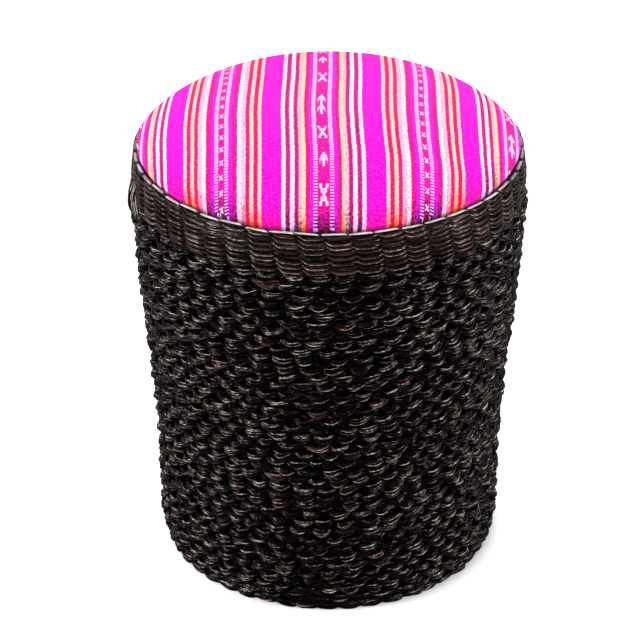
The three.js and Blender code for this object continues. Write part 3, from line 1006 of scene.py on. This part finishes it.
def figure_mask(w, figure, placed, folded, along):
    """Where the figures of the figured band and the little marks of the dotted band are."""
    whole = 2 * HALF_REPEAT
    distance = w.minus(placed, w.times(w.math("ROUND", w.over(placed, whole)), whole))
    mark_place = w.minus(along, w.times(w.math("ROUND", w.over(along, MARK_PITCH)), MARK_PITCH))
    mask = w.group(figure, Across=w.minus(HALF_REPEAT, folded), Along=mark_place, Length=MARK_LENGTH,
                   Width=MARK_WIDTH, Arrow=0.0, Stroke=1.1)["Mask"]
    for middle, length, arrow in FIGURES:
        drawn = w.group(figure, Across=distance, Along=w.minus(along, middle * MM), Length=length * MM,
                        Width=FIGURE_WIDTH, Arrow=float(arrow), Stroke=0.8)["Mask"]
        mask = w.larger(mask, drawn)
    return mask


def cloth_material(figure):
    """Striped, hand-woven cloth with a ribbed face, figures in one band and little marks in the other."""
    material, shader, w = new_material("striped_cloth", Roughness=0.9, Sheen_Weight=0.08, Sheen_Roughness=0.4,
                                       Specular_IOR_Level=0.04)
    across, along, _ = w.split(w.node("UVMap", uv_map="cloth").outputs[0])
    speck = w.speckle(w.vector(w.steps(across, SPECK_SIZE[0]), w.steps(along, SPECK_SIZE[1]), 0.0))
    fuzz = w.noise(w.vector(w.over(across, FUZZ_SIZE[0]), w.over(along, FUZZ_SIZE[1]), 5.0), 1.0, 1.0)
    placed = stripe_place(w, across, along)
    folded = w.math("PINGPONG", placed, HALF_REPEAT)
    stripes = stripe_colours(w, folded, across, speck)
    ladder = w.larger(*(w.math("COMPARE", folded, middle, LADDER_HALF_WIDTH) for middle in LADDER_MIDDLES))
    duty = w.spread(along, RUNGS_THIN, RUNGS_FULL, 0.45, 1.02)
    rung = w.math("LESS_THAN", w.math("FRACT", w.over(along, RUNG_PITCH)), duty)
    laddered = w.mix(w.times(ladder, rung), stripes, RUNG_COLOUR)
    figured = w.mix(figure_mask(w, figure, placed, folded, along), laddered, FIGURE_COLOUR)
    darker = w.mix(w.spread(speck, 0.5, 0.0, 0.0, 0.42), figured, SPECK_SHADE, "MULTIPLY")
    w.feed(shader["Base Color"], w.mix(w.spread(fuzz, 0.52, 0.68, 0.0, 0.2), darker, FUZZ_COLOUR))
    rib = w.math("SINE", w.times(across, TURN / THREAD_WIDTH))
    thread = w.math("SINE", w.times(along, TURN / THREAD_LENGTH))
    lint = w.noise(w.vector(w.over(across, LINT_SIZE[0]), w.over(along, LINT_SIZE[1]), 0.0), 1.0)
    w.feed(shader["Normal"], w.bump(w.plus(w.times(rib, thread), lint), 0.25 * MM, 0.6))
    return material


def cane_material(grain, direction):
    """Peeled cane: fine fibres along it, darker nodes and handling marks."""
    material, shader, w = new_material(f"cane_{direction}", Specular_IOR_Level=0.4)
    x, y, z = w.split(w.object_place())
    if direction == "round":
        radius = w.math("SQRT", w.plus(w.math("POWER", x, 2.0), w.math("POWER", y, 2.0)))
        vector = w.vector(w.times(w.math("ARCTAN2", y, x), RING_RADIUS), radius, z)
    else:
        order = {"up": (z, x, y), "across": (x, y, z), "along": (y, z, x)}[direction]
        vector = w.vector(*order)
    streak, blotch = w.group(grain, Vector=vector, Fineness=900.0, Stretch=18.0)
    nodes_passed = w.over(w.plus(w.split(vector)[0], w.times(blotch, NODE_WANDER)), NODE_PITCH)
    gap = w.size(w.minus(w.math("FRACT", nodes_passed), 0.5))
    node = w.spread(gap, 0.018, 0.004)
    base = w.mix(w.spread(streak, 0.35, 0.7), CANE_PALE, CANE_DARK)
    patched = w.mix(w.spread(blotch, 0.45, 0.75, 0.0, 0.6), base, CANE_DARK)
    w.feed(shader["Base Color"], w.mix(w.times(node, 0.7), patched, CANE_NODE))
    w.feed(shader["Roughness"], w.spread(streak, 0.3, 0.7, 0.4, 0.58))
    w.feed(shader["Normal"], w.bump(w.minus(streak, node), 0.3 * MM, 0.8))
    return material


def plywood_material(grain):
    """Birch plywood: long grain on the faces, and the plies' alternating lines on the edge."""
    material, shader, w = new_material("birch_plywood", Specular_IOR_Level=0.3)
    place = w.object_place()
    streak, blotch = w.group(grain, Vector=place, Fineness=500.0, Stretch=12.0)
    face = w.mix(w.spread(streak, 0.3, 0.7), VENEER_PALE, VENEER_DARK)
    ply = w.math("GREATER_THAN", w.math("FRACT", w.over(w.split(place)[2], PLY_PAIR)), 0.5)
    edge = w.mix(ply, PLY_PALE, PLY_DARK)
    upward = w.size(w.split(w.node("NewGeometry").outputs["Normal"])[2])
    w.feed(shader["Base Color"], w.mix(w.math("LESS_THAN", upward, 0.5), face, edge))
    w.feed(shader["Roughness"], w.spread(blotch, 0.3, 0.7, 0.5, 0.7))
    w.feed(shader["Normal"], w.bump(streak, 0.2 * MM, 0.5))
    return material


def steel_material():
    """Bright wire and nails: drawn lines and a little tarnish."""
    material, shader, w = new_material("bright_steel", Metallic=1.0)
    place = w.object_place()
    tarnish = w.noise(place, 260.0, 3.0)
    w.feed(shader["Base Color"], w.mix(w.spread(tarnish, 0.4, 0.7), STEEL_BRIGHT, STEEL_TARNISHED))
    w.feed(shader["Roughness"], w.spread(tarnish, 0.3, 0.7, 0.25, 0.5))
    w.feed(shader["Normal"], w.bump(w.noise(place, 2400.0), 0.05 * MM, 0.5))
    return material


def foam_material():
    """Open-cell foam, slightly yellowed."""
    material, shader, w = new_material("open_cell_foam", Roughness=0.95, Specular_IOR_Level=0.1)
    place = w.object_place()
    w.feed(shader["Base Color"], w.mix(w.spread(w.noise(place, 14.0), 0.4, 0.7), FOAM_PALE, FOAM_YELLOWED))
    w.feed(shader["Normal"], w.bump(w.noise(place, 900.0, 1.0), 0.5 * MM, 0.8))
    return material


def dress_frame(grain):
    """Gives the CAD nodes that show their finish, by the first word here that a node's name holds."""
    steel = steel_material()
    finishes = {
        "nail": steel, "screw": steel, "staple": steel,
        "ring": cane_material(grain, "round"), "upright": cane_material(grain, "up"),
        "lower_brace": cane_material(grain, "across"), "upper_brace": cane_material(grain, "along"),
        "board": plywood_material(grain),
    }
    for name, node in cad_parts.items():
        finish = next((finishes[word] for word in finishes if word in name), None)
        if finish:
            node.data.materials.clear()
            node.data.materials.append(finish)


def set_camera():
    camera = add_object("camera", bpy.data.cameras.new("camera"))
    back = Vector((0, -math.cos(CAMERA_ELEVATION), math.sin(CAMERA_ELEVATION)))
    camera.location = Vector((0, 0, AIM_HEIGHT)) + back * CAMERA_DISTANCE
    camera.rotation_euler = (math.pi / 2 - CAMERA_ELEVATION, 0, 0)
    camera.data.lens = LENS
    camera.data.sensor_width = SENSOR
    camera.data.shift_x = SHIFT_ACROSS
    camera.data.shift_y = SHIFT_UP
    scene.camera = camera


def set_surroundings():
    """White to the camera, a plain fill light on the stool, and a white far side for what mirrors it."""
    world = bpy.data.worlds.new("studio")
    scene.world = world
    world.use_nodes = True
    w = Wiring(world.node_tree)
    backdrop = world.node_tree.nodes["Background"].inputs
    backdrop["Color"].default_value = (1, 1, 1, 1)
    path = w.node("LightPath").outputs
    _, depth, rise = w.split(w.node("TexCoord").outputs["Generated"])
    behind = w.times(w.spread(depth, -0.4, 0.4), w.spread(rise, 0.75, 0.25))
    mirrored = w.times(path["Is Glossy Ray"], behind)
    direct = w.clamp(w.plus(path["Is Camera Ray"], path["Is Transmission Ray"]))
    lighting = w.times(path["Is Diffuse Ray"], FILL_LIGHT)
    w.feed(backdrop["Strength"], w.clamp(w.plus(lighting, w.plus(mirrored, direct))))


def lay_floor():
    """A pale floor that glows white to the camera away from the stool's foot."""
    grid = bmesh.new()
    bmesh.ops.create_grid(grid, x_segments=2, y_segments=2, size=FLOOR_REACH)
    floor = add_object("floor", mesh_from(grid, "floor"))
    material, shader, w = new_material("pale_floor", Roughness=0.9, Specular_IOR_Level=0.1,
                                       Emission_Color=(1, 1, 1, 1))
    path = w.node("LightPath").outputs
    w.feed(shader["Base Color"], w.mix(path["Is Glossy Ray"], FLOOR_COLOUR, FLOOR_MIRRORED))
    reach = w.node("VectorMath", operation="DISTANCE")
    w.feed_in_order(reach, (w.object_place(), SHADE_MIDDLE))
    glow = w.spread(reach.outputs["Value"], GLOW_START, GLOW_FULL, 0.0, FLOOR_GLOW)
    w.feed(shader["Emission Strength"], w.times(path["Is Camera Ray"], glow))
    floor.data.materials.append(material)


def add_softboxes():
    """Softboxes that face the middle of the stool."""
    for name, (place, width, depth, power) in SOFTBOXES.items():
        lamp = bpy.data.lights.new(f"{name} softbox", "AREA")
        lamp.shape = "RECTANGLE"
        lamp.size = width
        lamp.size_y = depth
        lamp.energy = power
        softbox = add_object(lamp.name, lamp)
        softbox.location = place
        softbox.rotation_euler = (Vector(place) - LIGHT_AIM).to_track_quat("Z", "Y").to_euler()


set_camera()
set_surroundings()
lay_floor()
add_softboxes()
scene.view_settings.view_transform = "Standard"

grain = grain_group()
wall_leaf = leaf_material("dark_leaf", grain, LEAF_TONES, WORN_LIT_LEAF, rough=0.2, streaks=0.03, crumple=0.85)
strip_leaf = leaf_material("border_leaf", grain, BORDER_TONES, WORN_LIT_STRIP,
                           rough=0.25, streaks=0.4, crumple=0.75)
rim_leaf = leaf_material("rim_leaf", grain, BORDER_TONES, WORN_LIT_RIM, rough=0.3, streaks=0.2, crumple=0.1)
weave_wall(wall_leaf)
build_stakes(wall_leaf)
plait_border(strip_leaf, rim_leaf)
tuck_plait_end(rim_leaf)
build_border_core(strip_leaf)
build_cover(cloth_material(figure_group()))
build_foam(foam_material())
dress_frame(grain)
